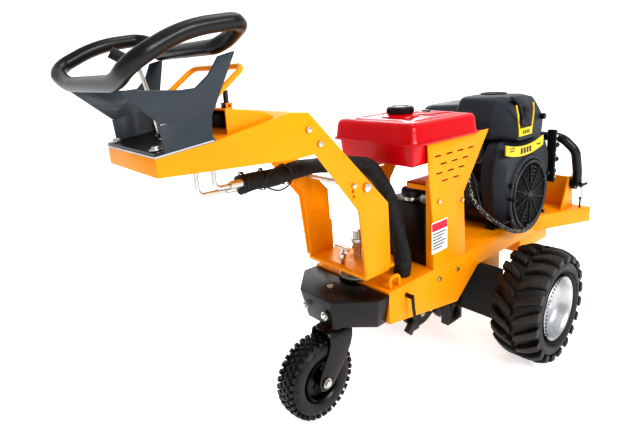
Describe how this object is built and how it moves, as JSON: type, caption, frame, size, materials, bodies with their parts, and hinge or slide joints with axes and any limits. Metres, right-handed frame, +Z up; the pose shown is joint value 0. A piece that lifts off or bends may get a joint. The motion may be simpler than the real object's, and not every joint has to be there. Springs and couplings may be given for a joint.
{
  "type": "stump grinder",
  "caption": "Self-propelled stump grinder: engine and drive wheels at one end, caster and steering arm with handles at the other, cutter wheel between.",
  "frame": {"origin": "on the ground, midway between the drive wheels, under their axle", "axes": "+X forward to the engine end, +Y left, +Z up; operator at -X"},
  "size_m": [1.9132, 0.839, 1.1642],
  "materials": {
    "yellow_paint": "gloss powder coat",
    "black_paint": "satin black paint",
    "slate_paint": "fine textured slate powder coat",
    "red_paint": "high gloss red",
    "black_plastic": "moulded black",
    "engine_cover": "fine textured charcoal",
    "cast_aluminium": "cast",
    "zinc": "zinc plated",
    "galvanised": "silver",
    "tyre_rubber": "moulded rubber",
    "black_rubber": "black",
    "dark_steel": "dark",
    "tool_steel": "forged"
  },
  "bodies": {
    "chassis": {"chassis_frame": "yellow_paint", "deck": "yellow_paint", "back_plate": "yellow_paint", "tank_posts": "yellow_paint", "tie_down_loops": "yellow_paint", "hydraulic_box": "yellow_paint", "bumper": "black_paint", "engine_rails": "black_paint", "oil_tank": "black_paint", "wheel_motors": "black_paint", "cutter_bearings": "black_paint", "belt_guard": "black_paint", "fuel_tank": "red_paint", "fan_guard": "black_plastic", "cover_knobs": "black_plastic", "control_panel": "black_plastic", "fan_shroud": "engine_cover", "air_cleaner_cover": "engine_cover", "crankcase": "cast_aluminium", "cylinder_heads": "cast_aluminium", "chassis_bolts": "zinc", "column_hub": "zinc", "hose_drop": "black_rubber", "wiring_loom": "black_rubber", "drive_belt": "black_rubber", "chip_curtain": "black_rubber", "muffler": "dark_steel"},
    "drive_wheel_right": {"drive_rim_right": "galvanised", "drive_tyre_right": "tyre_rubber"},
    "drive_wheel_left": {"drive_rim_left": "galvanised", "drive_tyre_left": "tyre_rubber"},
    "caster_swivel": {"caster_fork": "black_paint", "caster_axle": "zinc"},
    "caster_wheel": {"caster_rim": "black_paint", "caster_tyre": "tyre_rubber"},
    "steering": {"steering_yoke": "yellow_paint", "arm_pivot_bolt": "zinc"},
    "plunger": {"lock_plunger": "zinc"},
    "arm": {"arm_shell": "yellow_paint", "valve_cover": "yellow_paint", "valve_block": "dark_steel", "handle_brackets": "slate_paint", "handle_tube": "black_paint", "steel_pipes": "zinc", "hose_sleeve": "black_rubber", "arm_bolts": "zinc"},
    "feed_lever": {"feed_lever": "black_plastic"},
    "lift_lever": {"lift_lever": "black_plastic"},
    "bail": {"safety_bail": "yellow_paint"},
    "side_lever": {"side_lever": "black_paint"},
    "fuel_cap": {"fuel_cap": "black_plastic"},
    "crank": {"cooling_fan": "black_plastic", "crankshaft": "dark_steel"},
    "cutter": {"cutter_wheel": "dark_steel", "cutter_teeth": "tool_steel", "cutter_shaft": "dark_steel"},
    "key": {"ignition_key": "black_plastic"},
    "choke": {"choke_knob": "black_plastic"},
    "throttle": {"throttle_knob": "black_plastic"},
    "hoop": {"guard_hoop": "black_paint"}
  },
  "joints": [
    {"name": "wheel_right_spin", "type": "hinge", "parent": "chassis", "child": "drive_wheel_right", "pos_m": [0, -0.337, 0.203], "axis": [0, 1, 0], "continuous": true},
    {"name": "wheel_left_spin", "type": "hinge", "parent": "chassis", "child": "drive_wheel_left", "pos_m": [0, 0.337, 0.203], "axis": [0, 1, 0], "continuous": true},
    {"name": "caster_turn", "type": "hinge", "parent": "chassis", "child": "caster_swivel", "pos_m": [-0.683, 0, 0.276], "axis": [0, 0, 1], "continuous": true},
    {"name": "caster_spin", "type": "hinge", "parent": "caster_swivel", "child": "caster_wheel", "pos_m": [-0.763, 0, 0.13], "axis": [0, 1, 0], "continuous": true},
    {"name": "steer_turn", "type": "hinge", "parent": "chassis", "child": "steering", "pos_m": [-0.56, 0, 0.448], "axis": [0, 0, 1], "range_deg": [-45, 45], "deforming": ["hose_drop"]},
    {"name": "plunger_slide", "type": "slide", "parent": "steering", "child": "plunger", "axis": [0, 0, 1], "range_m": [-0.007, 0]},
    {"name": "arm_tilt", "type": "hinge", "parent": "steering", "child": "arm", "pos_m": [-0.65, 0, 0.728], "axis": [0, 1, 0], "range_deg": [0, 34], "deforming": ["hose_drop"]},
    {"name": "feed_lever_tilt", "type": "hinge", "parent": "arm", "child": "feed_lever", "pos_m": [-1.15, 0.02, 0.9276], "axis": [0, 1, 0], "range_deg": [-12, 20]},
    {"name": "lift_lever_tilt", "type": "hinge", "parent": "arm", "child": "lift_lever", "pos_m": [-0.985, 0, 0.9804], "axis": [0, 1, 0], "range_deg": [-14, 14]},
    {"name": "bail_squeeze", "type": "hinge", "parent": "arm", "child": "bail", "pos_m": [-1.112, 0, 0.945], "axis": [0, 1, 0], "range_deg": [-16, 0], "stiffness_Nm_per_rad": 6, "springref_deg": 11.46},
    {"name": "side_lever_turn", "type": "hinge", "parent": "chassis", "child": "side_lever", "pos_m": [-0.52, -0.183, 0.366], "axis": [0, 1, 0], "range_deg": [0, 80]},
    {"name": "cap_turn", "type": "hinge", "parent": "chassis", "child": "fuel_cap", "pos_m": [-0.335, 0, 0.895], "axis": [0, 0, 1], "range_deg": [0, 90]},
    {"name": "cutter_spin", "type": "hinge", "parent": "chassis", "child": "cutter", "pos_m": [-0.24, 0, 0.195], "axis": [0, 1, 0], "continuous": true},
    {"name": "crank_spin", "type": "hinge", "parent": "chassis", "child": "crank", "pos_m": [0.222, 0, 0.528], "axis": [0, 1, 0], "continuous": true},
    {"name": "key_turn", "type": "hinge", "parent": "chassis", "child": "key", "pos_m": [0.4423, -0.184, 0.578], "axis": [1, 0, 0], "range_deg": [0, 60]},
    {"name": "choke_pull", "type": "slide", "parent": "chassis", "child": "choke", "axis": [1, 0, 0], "range_m": [0, 0.012]},
    {"name": "throttle_pull", "type": "slide", "parent": "chassis", "child": "throttle", "axis": [1, 0, 0], "range_m": [0, 0.012]},
    {"name": "hoop_fold", "type": "hinge", "parent": "chassis", "child": "hoop", "pos_m": [0.56, 0, 0.506], "axis": [0, 1, 0], "range_deg": [0, 70]}
  ],
  "couplings": [
    {"joint": "crank_spin", "follows": "cutter_spin", "ratio": 1.2308}
  ]
}
